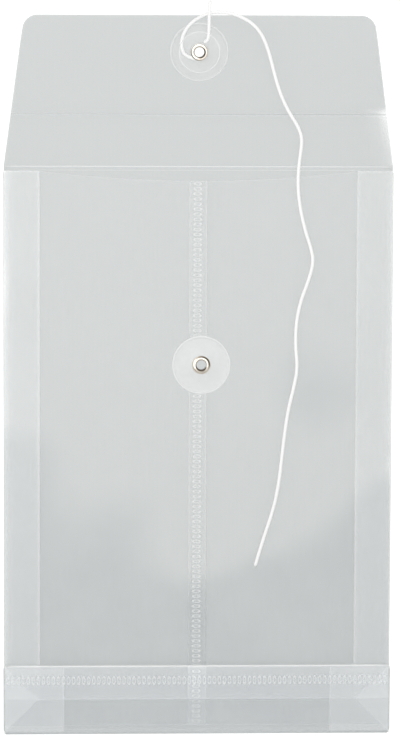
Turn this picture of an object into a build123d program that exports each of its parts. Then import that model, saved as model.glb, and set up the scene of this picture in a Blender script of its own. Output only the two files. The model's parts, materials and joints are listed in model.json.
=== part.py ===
"""String tie envelope of clear film, lying on its front with the flap open.

X runs across, Y from the bottom fold towards the flap, Z up from the table. One film is folded
into a pocket with side gussets, a welded back seam and a squared bottom that is folded up flat
over the back. Every panel between two folds is a piece of its own, so that each fold can turn.
Lengths are in millimetres.
"""

import os
from math import atan2, ceil, cos, dist, pi, radians, sin, tan

from build123d import *

# The film and the air that is left between two plies
film = 0.2
ply_gap = 0.15
weld_gap = 0.05
edge_gap = 0.05
cut_overrun = 1.0

# The pocket
body_width = 158.75
body_height = 233.0
gusset_depth = 14.6
mouth_setback = 1.2
mouth_dip = 4.0
seam_overlap = 7.6
bottom_depth = 27.9
bottom_flap_reach = 24.6
side_flap_inset = 0.6

# The flap
flap_height = 62.0
flap_top_width = 142.0
flap_shoulder = 0.5
flap_corner_radius = 5.0
flap_button_rise = 47.0
crease_width = 2.0
crease_film = 0.12
score_rise = 21.8
score_width = 0.5
score_depth = 0.08

# The buttons: a disc that turns on the neck of an eyelet, and a washer on the other side
disc_diameter = 24.0
disc_thickness = 0.8
disc_edge_radius = 0.25
disc_clearance = 0.06
washer_diameter = 16.8
washer_thickness = 0.25
hole_diameter = 3.9
neck_diameter = 4.7
head_diameter = 7.6
rim_diameter = 7.0
flange_thickness = 0.35
flange_chamfer = 0.15
lip_height = 0.2
lip_width = 0.7
stack_gap = 0.04
back_button_offset = 1.2
back_button_drop = 80.3

# The string. Its places are chosen along its way: first across, then up the flap from the fold
string_diameter = 1.1
string_clearance = 0.075
string_lift = 0.1
bend_share = 0.45
turn_sides = 8
turn_corners = 7
tail_start_share = (-0.12, 0.993)
under_places = [(-6.1, 45.6), (-7.4, 49.1), (-7.1, 52.7), (-5.6, 56.2), (-2.9, 59.3)]
dip_places = [(1.4, 61.8), (5.5, 63.1)]
edge_places = [(9.1, 63.2)]
over_places = [
    (12.8, 62.85), (16.4, 61.5), (20.6, 59.3), (24.4, 55.6), (27.3, 49.8),
    (29.2, 43.1), (32.3, 31.6), (36.3, 23.0), (40.2, 17.2),
]
tail_places = [(1.8, 51.3), (3.5, 53.0), (3.8, 57.2), (3.9, 62.6), (4.2, 68.0)]
# From the flap to the back: first across, then down from the fold
back_places = [
    (42.1, -11.9), (41.0, -3.7), (40.2, 5.3), (41.0, 14.8), (43.3, 25.1), (46.0, 32.9), (46.9, 38.7),
    (44.7, 46.5), (41.7, 54.3), (39.9, 63.7), (39.8, 73.2), (40.7, 81.9), (39.1, 90.1), (36.9, 99.1),
    (35.5, 109.0), (34.4, 118.9), (33.3, 129.2), (31.1, 140.2), (26.9, 152.6), (23.6, 163.9),
]

# What follows from these
half_width = body_width / 2
pitch = film + ply_gap
string_radius = string_diameter / 2
disc_radius = disc_diameter / 2
neck_radius = neck_diameter / 2
hole_radius = hole_diameter / 2
neck_gap = string_diameter + 2 * string_clearance
head_drop = neck_gap + disc_thickness + stack_gap + flange_thickness
flap_tilt = max(
    atan2(neck_gap + disc_thickness, flap_button_rise - disc_radius),
    atan2(head_drop + lip_height, flap_button_rise - hole_radius - lip_width),
)
body_length = body_height + flap_height * cos(flap_tilt)
bottom_y = -body_length / 2
fold_y = bottom_y + body_height
mouth_y = fold_y - mouth_setback
foot_y = bottom_y + bottom_depth / 2
bottom_top_y = bottom_y + bottom_depth
crease_x = half_width - gusset_depth
button_y = fold_y - back_button_drop

gusset_front_z = pitch
gusset_back_z = gusset_front_z + pitch
back_z = gusset_back_z + pitch
seam_z = back_z + film + weld_gap
seam_top_z = seam_z + film
foot_z = seam_top_z + ply_gap
corner_z = foot_z + pitch
tuck_z = corner_z + pitch
side_flap_z = tuck_z + pitch
back_flap_z = side_flap_z + pitch
front_flap_z = back_flap_z + pitch

flap_plane = Plane(
    origin=(0, fold_y, 0), x_dir=(1, 0, 0), z_dir=(0, -sin(flap_tilt), cos(flap_tilt))
)
flap_button_plane = Plane(
    origin=flap_plane.from_local_coords((0, flap_button_rise, 0)),
    x_dir=flap_plane.x_dir,
    z_dir=flap_plane.z_dir,
)
back_button_plane = Plane(origin=(back_button_offset, button_y, 0))


def bend_radii(points):
    """The radius at each inner point: a share of its shorter run over the tangent of half its turn."""
    radii = []
    for before, here, after in zip(points, points[1:], points[2:]):
        run_in, run_out = Vector(here) - Vector(before), Vector(after) - Vector(here)
        half_turn = radians(run_in.get_angle(run_out)) / 2
        radii.append(bend_share * min(run_in.length, run_out.length) / tan(half_turn))
    return radii


def on_flap(x, v, height):
    """A place by its distance across, up the flap and above the film's outer face."""
    place = flap_plane.from_local_coords((x, v, height))
    return (place.X, place.Y, place.Z)


def eyelet_profile(head_z, rim_z, towards):
    """Half a section through an eyelet: flange and lip at head_z, neck, rolled rim at rim_z."""
    out, back = towards * flange_thickness, towards * (flange_thickness - flange_chamfer)
    return [
        (hole_radius, rim_z - out),
        (rim_diameter / 2 - flange_chamfer, rim_z - out),
        (rim_diameter / 2, rim_z - back),
        (rim_diameter / 2, rim_z),
        (neck_radius, rim_z),
        (neck_radius, head_z),
        (head_diameter / 2, head_z),
        (head_diameter / 2, head_z + back),
        (head_diameter / 2 - flange_chamfer, head_z + out),
        (hole_radius + lip_width, head_z + out),
        (hole_radius + lip_width / 2, head_z + out + towards * lip_height),
        (hole_radius, head_z + out),
    ]


# Front panel, with the flap's fold at its upper end
with BuildPart() as front_panel:
    with BuildSketch():
        with Locations((0, bottom_y)):
            Rectangle(body_width, body_height - crease_width / 2, align=(Align.CENTER, Align.MIN))
    extrude(amount=film)

with BuildPart() as flap_crease:
    with BuildSketch():
        with Locations((0, fold_y)):
            Rectangle(body_width - 2 * flap_shoulder, crease_width - 2 * edge_gap)
    extrude(amount=crease_film)

with BuildPart() as flap_panel:
    with BuildSketch(flap_plane):
        with BuildLine():
            root_x, top_x = half_width - flap_shoulder, flap_top_width / 2
            Polyline(
                (-root_x, crease_width / 2), (root_x, crease_width / 2),
                (top_x, flap_height), (-top_x, flap_height), close=True,
            )
        make_face()
        fillet(vertices().group_by(Axis.Y)[-1], radius=flap_corner_radius)
        with Locations((0, flap_button_rise)):
            Circle(neck_radius + stack_gap, mode=Mode.SUBTRACT)
    extrude(amount=film)
    with BuildSketch(flap_plane.offset(film - score_depth)):
        with Locations((0, score_rise)):
            Rectangle(body_width + cut_overrun, score_width)
    extrude(amount=cut_overrun, mode=Mode.SUBTRACT)

# Gussets: on each side a ply on the front panel and a ply on the back panel
front_ply = [(half_width, bottom_y), (half_width, mouth_y), (crease_x, mouth_y), (crease_x, foot_y)]
back_ply = [(half_width, foot_y), (half_width, mouth_y), (crease_x, mouth_y), (crease_x, foot_y)]

with BuildPart() as gusset_front_left:
    with BuildSketch(Plane.XY.offset(gusset_front_z)):
        with BuildLine():
            Polyline(*[(-x, y) for x, y in front_ply], close=True)
        make_face()
    extrude(amount=film)

with BuildPart() as gusset_back_left:
    with BuildSketch(Plane.XY.offset(gusset_back_z)):
        with BuildLine():
            Polyline(*[(-x, y) for x, y in back_ply], close=True)
        make_face()
    extrude(amount=film)

with BuildPart() as gusset_front_right:
    with BuildSketch(Plane.XY.offset(gusset_front_z)):
        with BuildLine():
            Polyline(*front_ply, close=True)
        make_face()
    extrude(amount=film)

with BuildPart() as gusset_back_right:
    with BuildSketch(Plane.XY.offset(gusset_back_z)):
        with BuildLine():
            Polyline(*back_ply, close=True)
        make_face()
    extrude(amount=film)

# Back panel: the right half is stepped up and welded over the left half along the centre seam. Its
# mouth is cut in a shallow arc from one gusset's crease to the other's
back_height = mouth_y - foot_y
seam_x = seam_overlap / 2
mouth_radius = (crease_x ** 2 + mouth_dip ** 2) / (2 * mouth_dip)
mouth_centre = (0, mouth_y - mouth_dip + mouth_radius)

with BuildPart() as back_panel_left:
    with BuildSketch(Plane.XY.offset(back_z)):
        with Locations((-half_width, foot_y)):
            Rectangle(half_width + seam_x, back_height, align=(Align.MIN, Align.MIN))
        with Locations((back_button_offset, button_y)):
            Circle(neck_radius + stack_gap, mode=Mode.SUBTRACT)
        with Locations(mouth_centre):
            Circle(mouth_radius, mode=Mode.SUBTRACT)
    extrude(amount=film)

with BuildPart() as back_panel_right:
    step_x = seam_x + edge_gap
    with BuildSketch(Plane.XY.offset(back_z)):
        with Locations((step_x, foot_y)):
            Rectangle(half_width - step_x, back_height, align=(Align.MIN, Align.MIN))
    extrude(amount=film)
    with BuildSketch(Plane.XY.offset(back_z)):
        with Locations((step_x, foot_y)):
            Rectangle(film, back_height, align=(Align.MIN, Align.MIN))
    extrude(amount=seam_top_z - back_z)
    with BuildSketch(Plane.XY.offset(seam_z)):
        with Locations((-seam_x, foot_y)):
            Rectangle(step_x + film + seam_x, back_height, align=(Align.MIN, Align.MIN))
        with Locations((back_button_offset, button_y)):
            Circle(neck_radius + stack_gap, mode=Mode.SUBTRACT)
    extrude(amount=film)
    with BuildSketch(Plane.XY.offset(back_z)):
        with Locations(mouth_centre):
            Circle(mouth_radius)
    extrude(amount=seam_top_z - back_z, mode=Mode.SUBTRACT)

# Squared bottom, folded up flat: foot of the back, corners, tucks, side flaps, back flap, front flap
with BuildPart() as back_foot:
    with BuildSketch(Plane.XY.offset(foot_z)):
        with Locations((0, foot_y)):
            Rectangle(body_width, bottom_depth / 2, align=(Align.CENTER, Align.MIN))
    extrude(amount=film)

corner = [(half_width, bottom_top_y), (half_width, foot_y), (crease_x, foot_y)]
tuck = [(half_width, bottom_y), (half_width, bottom_top_y), (crease_x, foot_y)]

with BuildPart() as corner_tuck_left:
    with BuildSketch(Plane.XY.offset(corner_z)):
        with BuildLine():
            Polyline(*[(-x, y) for x, y in corner], close=True)
        make_face()
    extrude(amount=film)

with BuildPart() as corner_tuck_right:
    with BuildSketch(Plane.XY.offset(corner_z)):
        with BuildLine():
            Polyline(*corner, close=True)
        make_face()
    extrude(amount=film)

with BuildPart() as bottom_tuck_left:
    with BuildSketch(Plane.XY.offset(tuck_z)):
        with BuildLine():
            Polyline(*[(-x, y) for x, y in tuck], close=True)
        make_face()
    extrude(amount=film)

with BuildPart() as bottom_tuck_right:
    with BuildSketch(Plane.XY.offset(tuck_z)):
        with BuildLine():
            Polyline(*tuck, close=True)
        make_face()
    extrude(amount=film)

with BuildPart() as bottom_side_flap_left:
    with BuildSketch(Plane.XY.offset(side_flap_z)):
        with Locations((-half_width, foot_y)):
            Rectangle(
                bottom_flap_reach, bottom_depth - 2 * side_flap_inset, align=(Align.MIN, Align.CENTER)
            )
    extrude(amount=film)

with BuildPart() as bottom_side_flap_right:
    with BuildSketch(Plane.XY.offset(side_flap_z)):
        with Locations((half_width, foot_y)):
            Rectangle(
                bottom_flap_reach, bottom_depth - 2 * side_flap_inset, align=(Align.MAX, Align.CENTER)
            )
    extrude(amount=film)

with BuildPart() as bottom_back_flap:
    with BuildSketch(Plane.XY.offset(back_flap_z)):
        with Locations((0, bottom_top_y)):
            Rectangle(body_width, bottom_flap_reach, align=(Align.CENTER, Align.MAX))
    extrude(amount=film)

with BuildPart() as bottom_front_flap:
    with BuildSketch(Plane.XY.offset(front_flap_z)):
        with Locations((0, bottom_y)):
            Rectangle(body_width, bottom_flap_reach, align=(Align.CENTER, Align.MIN))
    extrude(amount=film)

# Button on the outside of the flap: the film lies between the washer and the string's neck
with BuildPart() as flap_button:
    with BuildSketch(flap_button_plane.offset(-neck_gap - disc_thickness)):
        Circle(disc_radius)
        Circle(neck_radius + disc_clearance, mode=Mode.SUBTRACT)
    extrude(amount=disc_thickness)
    fillet(edges().filter_by(GeomType.CIRCLE).group_by(SortBy.RADIUS)[-1], radius=disc_edge_radius)

with BuildPart() as flap_washer:
    with BuildSketch(flap_button_plane.offset(film + stack_gap)):
        Circle(washer_diameter / 2)
        Circle(neck_radius + stack_gap, mode=Mode.SUBTRACT)
    extrude(amount=washer_thickness)

with BuildPart() as flap_eyelet:
    head_level = -neck_gap - disc_thickness - stack_gap
    rim_level = film + 2 * stack_gap + washer_thickness
    eyelet_section = Plane(
        origin=flap_button_plane.origin, x_dir=flap_plane.x_dir, z_dir=-flap_plane.y_dir
    )
    with BuildSketch(eyelet_section):
        with BuildLine():
            Polyline(*eyelet_profile(head_level, rim_level, -1), close=True)
        make_face()
    revolve(axis=Axis(flap_button_plane.origin, flap_button_plane.z_dir))

# Button on the back
disc_z = seam_top_z + neck_gap

with BuildPart() as back_button:
    with BuildSketch(back_button_plane.offset(disc_z)):
        Circle(disc_radius)
        Circle(neck_radius + disc_clearance, mode=Mode.SUBTRACT)
    extrude(amount=disc_thickness)
    fillet(edges().filter_by(GeomType.CIRCLE).group_by(SortBy.RADIUS)[-1], radius=disc_edge_radius)

with BuildPart() as back_washer:
    with BuildSketch(back_button_plane.offset(back_z - stack_gap - washer_thickness)):
        Circle(washer_diameter / 2)
        Circle(neck_radius + stack_gap, mode=Mode.SUBTRACT)
    extrude(amount=washer_thickness)

with BuildPart() as back_eyelet:
    head_level = disc_z + disc_thickness + stack_gap
    rim_level = back_z - 2 * stack_gap - washer_thickness
    eyelet_section = Plane(origin=back_button_plane.origin, x_dir=(1, 0, 0), z_dir=(0, -1, 0))
    with BuildSketch(eyelet_section):
        with BuildLine():
            Polyline(*eyelet_profile(head_level, rim_level, 1), close=True)
        make_face()
    revolve(axis=Axis(back_button_plane.origin, back_button_plane.z_dir))

# String: an open turn round the neck, then up the outside of the flap, under the tail, over the flap's
# edge, down its inside and over the back
neck_level = -string_clearance - string_radius
dip_level = neck_level - string_diameter - 2 * string_clearance
over_level = film + string_radius + string_lift
back_level = back_z + film + string_radius + string_lift
turn_radius = neck_radius + string_radius + string_clearance
turn_step = 2 * pi / turn_sides
turn_corner_radius = turn_radius / cos(turn_step / 2)
turn_start = pi - turn_step / 2
turn_angles = [turn_start - turn_step * side for side in range(turn_corners)]
tail_reach = turn_corner_radius + string_diameter + string_clearance

string_points = [on_flap(-turn_radius, flap_button_rise, neck_level)]
string_points += [
    on_flap(
        turn_corner_radius * cos(angle), flap_button_rise + turn_corner_radius * sin(angle), neck_level
    )
    for angle in turn_angles
]
for places, level in (
    (under_places, neck_level),
    (dip_places, dip_level),
    (edge_places, neck_level),
    (over_places, over_level),
):
    string_points += [on_flap(x, v, level) for x, v in places]
string_points += [(x, fold_y - drop, back_level) for x, drop in back_places]
string_radii = bend_radii(string_points)

with BuildPart() as string:
    with BuildLine() as string_line:
        FilletPolyline(*string_points, radius=string_radii)
    with BuildSketch(Plane(origin=string_line.line @ 0, z_dir=string_line.line % 0)):
        Circle(string_radius)
    sweep()

tail_x, tail_v = [tail_reach * share for share in tail_start_share]
tail_points = [on_flap(tail_x, flap_button_rise + tail_v, neck_level)]
tail_points += [on_flap(x, v, neck_level) for x, v in tail_places]
tail_radii = bend_radii(tail_points)

with BuildPart() as string_tail:
    with BuildLine() as tail_line:
        FilletPolyline(*tail_points, radius=tail_radii)
    with BuildSketch(Plane(origin=tail_line.line @ 0, z_dir=tail_line.line % 0)):
        Circle(string_radius)
    sweep()

gap_samples = 600
samples = [tuple(string_line.line @ (sample / gap_samples)) for sample in range(gap_samples + 1)]
sample_step = sum(edge.length for edge in string_line.edges()) / gap_samples
apart = ceil(pi * string_diameter / sample_step)
nearest = min(
    dist(here, there) for place, here in enumerate(samples) for there in samples[place + apart:]
)
print("string's least gap to itself", round(nearest - string_diameter, 2))

section = pi * string_radius ** 2
for title, piece, line, radii in (
    ("string", string, string_line, string_radii), ("tail", string_tail, tail_line, tail_radii)
):
    run = sum(edge.length for edge in line.edges())
    print(title, "length", round(run, 1), "bend radii", [round(r, 1) for r in radii])
    print(title, "volume", round(piece.part.volume, 2), "section by length", round(section * run, 2))

pieces = {
    "front_panel": front_panel,
    "flap_crease": flap_crease,
    "flap_panel": flap_panel,
    "gusset_front_left": gusset_front_left,
    "gusset_back_left": gusset_back_left,
    "gusset_front_right": gusset_front_right,
    "gusset_back_right": gusset_back_right,
    "back_panel_left": back_panel_left,
    "back_panel_right": back_panel_right,
    "back_foot": back_foot,
    "corner_tuck_left": corner_tuck_left,
    "corner_tuck_right": corner_tuck_right,
    "bottom_tuck_left": bottom_tuck_left,
    "bottom_tuck_right": bottom_tuck_right,
    "bottom_side_flap_left": bottom_side_flap_left,
    "bottom_side_flap_right": bottom_side_flap_right,
    "bottom_back_flap": bottom_back_flap,
    "bottom_front_flap": bottom_front_flap,
    "flap_button": flap_button,
    "flap_washer": flap_washer,
    "flap_eyelet": flap_eyelet,
    "back_button": back_button,
    "back_washer": back_washer,
    "back_eyelet": back_eyelet,
    "string": string,
    "string_tail": string_tail,
}
os.makedirs("parts", exist_ok=True)
for label, piece in pieces.items():
    piece.part.label = label
    export_step(piece.part, f"parts/{label}.step")
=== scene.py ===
import json
from math import asin, cos, pi, radians, sin

import bpy
import numpy as np
from bpy.props import FloatProperty, FloatVectorProperty, IntProperty, PointerProperty
from bpy.types import NodeSocket, Operator, Panel, PropertyGroup
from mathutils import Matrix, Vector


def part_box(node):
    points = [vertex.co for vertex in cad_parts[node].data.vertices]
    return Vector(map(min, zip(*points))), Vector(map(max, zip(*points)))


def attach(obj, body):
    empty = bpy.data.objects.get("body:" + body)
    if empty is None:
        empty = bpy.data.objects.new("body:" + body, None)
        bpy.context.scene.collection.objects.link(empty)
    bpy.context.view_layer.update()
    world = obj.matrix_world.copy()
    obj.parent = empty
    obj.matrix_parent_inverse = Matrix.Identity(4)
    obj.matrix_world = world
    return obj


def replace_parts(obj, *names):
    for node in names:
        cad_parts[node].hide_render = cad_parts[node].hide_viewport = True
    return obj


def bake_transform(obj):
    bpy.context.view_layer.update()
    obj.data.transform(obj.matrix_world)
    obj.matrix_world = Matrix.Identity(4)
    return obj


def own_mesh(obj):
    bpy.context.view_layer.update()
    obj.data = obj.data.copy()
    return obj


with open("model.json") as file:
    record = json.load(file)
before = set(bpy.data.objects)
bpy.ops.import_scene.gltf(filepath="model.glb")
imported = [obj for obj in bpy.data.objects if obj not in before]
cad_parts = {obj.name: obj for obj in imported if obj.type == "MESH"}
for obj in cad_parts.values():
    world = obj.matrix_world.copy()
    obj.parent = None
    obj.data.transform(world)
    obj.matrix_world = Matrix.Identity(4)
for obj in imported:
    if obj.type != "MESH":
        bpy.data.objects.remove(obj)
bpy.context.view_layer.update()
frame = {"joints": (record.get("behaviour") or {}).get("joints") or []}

bl_info = {
    "name": "String tie envelope",
    "version": (1, 0, 0),
    "blender": (4, 5, 0),
    "location": "3D View > Sidebar > Envelope",
    "description": "Clear film envelope with gussets, a folded bottom and a button and string closure",
    "category": "Object",
}

MM = 0.001
JOINTS = {joint["name"]: joint for joint in frame["joints"]}
SIDES = (("left", -1), ("right", 1))

# Places of the folds and the eyelets, read from the frame
FRONT_LOW, FRONT_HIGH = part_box("front_panel")
HALF, BOTTOM, FILM = FRONT_HIGH.x, FRONT_LOW.y, FRONT_HIGH.z - FRONT_LOW.z
FOLD = JOINTS["flap_fold"]["pos_m"][1]
CREASE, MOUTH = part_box("gusset_front_right")[0].x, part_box("gusset_front_right")[1].y
FOOT, FOOT_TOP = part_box("back_foot")[0].y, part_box("back_foot")[1].y
SEAM, BACK_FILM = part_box("back_panel_left")[1].x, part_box("back_panel_left")[0].z + FILM / 2
FLAP_EYE, FLAP_AXIS = np.array(JOINTS["flap_button_spin"]["pos_m"]), JOINTS["flap_button_spin"]["axis"]
TILT = -asin(FLAP_AXIS[1])
FLAP_RISE = float(np.hypot(FLAP_EYE[1] - FOLD, FLAP_EYE[2]))
BACK_EYE = np.array(JOINTS["back_button_spin"]["pos_m"]) * (1, 1, 0)

# Flap, measured up from the fold
FLAP_ROOT, FLAP_TOP, FLAP_TOP_HALF, FLAP_CORNER = 1.0 * MM, 62.0 * MM, 71.0 * MM, 5.5 * MM
FLAP_SPARE = 0.35 * MM
SCORE_RISE, SCORE_WIDTH, SCORE_DEPTH = 21.8 * MM, 0.5 * MM, 0.08 * MM
# Painted shade along the score's groove: its strength and spread.
SCORE_SHADE, SCORE_SPREAD = -0.6, 0.35 * MM
HOLE_RADIUS, FLAP_HOLE_REACH, BACK_HOLE_REACH = 2.39 * MM, 4.0 * MM, 3.4 * MM
MOUTH_DIP, MOUTH_DRAW = 4.0 * MM, 30 * MM

# Way of the string, first across, then up the flap from the fold, in millimetres
TURN_RADIUS, TURN_REACH = 2.975, 3.22
TURN_DEGREES = (157.5, 112.5, 67.5, 22.5, -22.5, -67.5, -112.5)
UNDER = [(-6.1, 45.6), (-7.4, 49.1), (-7.1, 52.7), (-5.6, 56.2), (-2.9, 59.3)]
DIP = [(1.4, 61.8), (5.5, 63.1)]
EDGE = [(9.1, 63.2)]
OVER = [
    (12.8, 62.85), (16.4, 61.5), (20.6, 59.3), (24.4, 55.6), (27.3, 49.8),
    (29.2, 43.1), (32.3, 31.6), (36.3, 23.0), (40.2, 17.2),
]
LEAVE = [(42.1, 11.9), (41.0, 3.7)]
TAIL = [(1.75, 51.0), (2.8, 51.4), (3.65, 52.7), (3.85, 56.5), (3.9, 62.6), (4.2, 68.0)]
# Down the back, first across, then down from the fold
BACK = [
    (40.2, 5.3), (41.0, 14.8), (43.3, 25.1), (46.0, 32.9), (46.9, 38.7),
    (44.7, 46.5), (41.7, 54.3), (39.9, 63.7), (39.8, 73.2), (40.7, 81.9), (39.1, 90.1), (36.9, 99.1),
    (35.5, 109.0), (34.4, 118.9), (33.3, 129.2), (31.1, 140.2), (26.9, 152.6), (23.6, 163.9),
]
NECK_LEVEL, DIP_LEVEL, OVER_LEVEL, LEAVE_LEVEL, BACK_LEVEL = -0.625, -1.875, 0.85, 0.87, 1.9
STRING_WIDE, STRING_HIGH, STRAND_DEPTH = 1.12, 0.93, 0.11

# How far a ply stays from a fold, so that it clears its neighbour when the fold opens
PLY_INSET, FOLD_INSET = 0.06 * MM, 0.6 * MM
# Distances from an edge at which a sheet has grid lines, and places of such lines at the edges of the seam
NEAR = np.array([0, 0.03, 0.1, 0.3, 0.6, 1.0, 1.6, 2.6, 4.2]) * MM
STRIP_LINES = np.array([-4.0, -3.85, -3.65, -3.55, -3.3, -2.9, 2.9, 3.3, 3.55, 3.65, 3.85, 4.0]) * MM
SCORE_LINES = np.array([-2, -1, -0.5, -0.25, 0, 0.25, 0.5, 1, 2]) * SCORE_WIDTH
LINE_CLEAR, SCORE_CLEAR, CLOSE_LINES = 0.02 * MM, 0.3 * MM, 20 * MM
HOLE_LINES, HOLE_SHARES = 13, np.array([0.3, 0.6, 0.85, 1.0])
SHUT = 0.00045 * MM
# Fold: steps round it, steps along it, and the tongue that goes into each ply
ROUND_STEPS, ALONG_STEP, TONGUE = 15, 6 * MM, 0.08 * MM
EDGE_BULGE, TOP_BULGE, BOTTOM_BULGE = 0.35, 0.6, 0.2
# Weld oval: points round it, and for its rings the share of the radius, the rise and the whitening
WELD_AROUND, WELD_X = 12, -0.4 * MM
WELD_SHARE = np.array([0.42, 0.62, 0.9, 1.0, 0.5])
WELD_RISE = np.array([0.15, 0.7, 1.0, 0.0, 0.0])
WELD_SHADE = np.array([0.0, 0.85, 1.0, 0.2, 0.0])

# Whitening along an edge: strengths, and how far each reaches in. The narrow bells are stress whitening and
# painted highlight at a cut or fold; the wide ones are painted highlight where a bowed edge or crease catches
# light.
CUT = [(0.55, 0.28 * MM)]
FOLDED = [(0.4, 0.4 * MM), (0.16, 2.6 * MM)]
BOWED = [(0.28, 0.4 * MM), (0.34, 3.0 * MM)]
CREASED = [(0.3, 0.4 * MM), (0.10, 2.2 * MM)]
SOFT = [(0.3, 0.3 * MM), (0.08, 2.0 * MM)]
FRONT_SIDE = [(0.10, 2.5 * MM)]
GUSSET_FOOT = [(0.4, 0.3 * MM)]
SEAM_CUT = [(0.5, 0.35 * MM)]
MOUTH_CUT = [(0.25, 0.3 * MM)]
TUCK_SIDE = [(0.25, 0.3 * MM)]
CORNER_SIDE = [(0.2, 0.3 * MM)]
PLAIN = []


def colour_of(name, note, default):
    """Colour that a user may change."""
    return FloatVectorProperty(name=name, description=note, subtype="COLOR", min=0, max=1, default=default)


def share_of(name, note, default):
    """Share from 0 to 1 that a user may change."""
    return FloatProperty(name=name, description=note, subtype="FACTOR", min=0, max=1, default=default)


def length_of(name, note, low, high, default):
    """Length in metres that a user may change."""
    return FloatProperty(name=name, description=note, subtype="DISTANCE", min=low, max=high, default=default)


def place_of(name, note, default):
    """Place in metres that a user may change."""
    return FloatVectorProperty(
        name=name, description=note, subtype="TRANSLATION", unit="LENGTH", default=default,
    )


def turn_of(name, note, degrees):
    """Turn about the three axes that a user may change."""
    default = [radians(degree) for degree in degrees]
    return FloatVectorProperty(name=name, description=note, subtype="EULER", default=default)


class FilmFinish(PropertyGroup):
    colour: colour_of("Film colour", "Milky tone of the clear film", (0.745, 0.765, 0.762))
    # Painted shade: the film takes the next colour low on the pocket, and the one after on the bottom flaps,
    # where the light falls off; the second also tints them bluish.
    painted_shade_colour: colour_of("Deep colour", "Greyer tone of the film low on the pocket", (0.45, 0.475, 0.49))
    low_tint_and_shade: colour_of("Low colour", "Bluish tone of the flaps under the bottom", (0.53, 0.56, 0.595))
    haze: share_of("Haze", "Share of one face of a ply that hides what lies behind", 0.055)
    folded_haze: share_of("Folded haze", "The same for the plies of the gussets and the bottom", 0.07)
    # Crease whitening also scales the painted highlights that a point's tone puts along edges and folds.
    whitening: share_of("Crease whitening", "How much a crease or cut edge hides", 0.35)
    roughness: share_of("Film roughness", "Roughness of the film's gloss", 0.22)
    step: length_of("Grid step", "Spacing of the grid on a panel", 0.001, 0.02, 0.006)


class WeldFinish(PropertyGroup):
    pitch: length_of("Weld pitch", "Distance from one weld oval to the next", 0.001, 0.01, 0.00207)
    long_radius: length_of("Long radius", "Half the length of a weld oval", 0.0005, 0.005, 0.0020)
    short_radius: length_of("Short radius", "Half the width of a weld oval", 0.0003, 0.003, 0.00080)
    rise: length_of("Weld rise", "Height of the bead round a weld oval", 0, 0.0005, 0.00008)


class ButtonFinish(PropertyGroup):
    disc_colour: colour_of("Disc colour", "Translucent white plastic of the discs", (0.69, 0.705, 0.70))
    disc_cover: share_of("Disc cover", "Share of a disc's face that hides what lies behind", 0.62)
    metal_colour: colour_of("Eyelet colour", "Nickel plating of the eyelets", (0.74, 0.69, 0.61))
    segments: IntProperty(name="Segments", description="Steps round a piece", min=24, max=256, default=128)


class StringFinish(PropertyGroup):
    diameter: length_of("String diameter", "Over the strands", 0.0005, 0.003, 0.0013)
    strands: IntProperty(name="Strands", description="Strands laid together", min=2, max=6, default=3)
    lay: length_of("Lay", "Length of one turn of the strands", 0.001, 0.02, 0.0042)
    colour: colour_of("String colour", "White cotton", (0.95, 0.95, 0.945))


class StageFinish(PropertyGroup):
    floor_colour: colour_of("Floor colour", "Pale ground that shows through the film", (0.335, 0.347, 0.3445))
    ground_glow: share_of("Ground", "Light of the ground where it is seen through the film", 0.82)
    glow: share_of("Background", "Light that whitens the floor where it is seen bare", 0.55)
    sky: FloatProperty(name="Sky", description="Strength of the even light", min=0, max=2, default=0.66)
    lamp: FloatProperty(name="Lamp", description="Power of the lamp", subtype="POWER", min=0, default=4.0)
    lamp_size: length_of("Lamp size", "Diameter of the soft lamp", 0.05, 3, 0.9)
    lamp_place: place_of("Lamp place", "Where the soft lamp hangs", (-0.12, 0.25, 0.80))
    lamp_turn: turn_of("Lamp turn", "How the soft lamp is turned", (-13, -8, 0))
    camera_place: place_of("Camera place", "Where the camera stands", (-0.062577, 0.158421, 1.483993))
    camera_turn: turn_of("Camera turn", "How the camera is turned", (-5.9736, -2.4237, 0.2189))
    lens: FloatProperty(name="Lens", description="Focal length in mm", min=20, max=400, default=178.031)


def bell(distance, spread):
    """Bell curve: e to the minus square of the distance over the spread, so 1 at no distance."""
    return np.exp(-((distance / spread) ** 2))


def quarter_round(share, least=0.0):
    """Height of a quarter round at a share of its radius, from 0 at its foot to 1."""
    return np.sqrt(np.clip(1 - (1 - np.clip(share, 0, 1)) ** 2, least, 1))


def on_body(across, along, above):
    """Place on the pocket: the three coordinates as they are."""
    return np.stack(np.broadcast_arrays(across, along, above), axis=-1).astype(float)


def on_flap(across, up, above):
    """Place on the open flap: across, up from the fold along the tilted film, and off its outer face."""
    along = FOLD + up * cos(TILT) - above * sin(TILT)
    return on_body(across, along, up * sin(TILT) + above * cos(TILT))


def level(node):
    """Height of the middle of a flat ply."""
    low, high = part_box(node)
    return (low.z + high.z) / 2


def rectangle(low_x, high_x, low_y, high_y):
    """Corners of a panel, lower left first."""
    return [(low_x, low_y), (high_x, low_y), (high_x, high_y), (low_x, high_y)]


def handed(side, corners):
    """Corners of a ply on the right, taken in the order that the same ply on the left needs."""
    return corners if side > 0 else [corners[place] for place in (1, 0, 3, 2)]


def grid_lines(length, step, wanted=()):
    """Lines from 0 to length: the near distances from each end, the wanted ones, and even steps between."""
    near = NEAR[NEAR < length * 0.4]
    middle = np.linspace(near[-1], length - near[-1], max(2, int((length - 2 * near[-1]) / step) + 1))
    every = np.concatenate([near, length - near, middle])
    wanted = np.asarray(wanted, float)
    if wanted.size:
        clear = np.abs(every[:, None] - wanted).min(axis=1) > LINE_CLEAR
        inside = (every > wanted.min()) & (every < wanted.max()) & (np.ptp(wanted) < CLOSE_LINES)
        every = np.concatenate([every[clear & ~inside], wanted])
    return np.unique(every.round(8))


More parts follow.
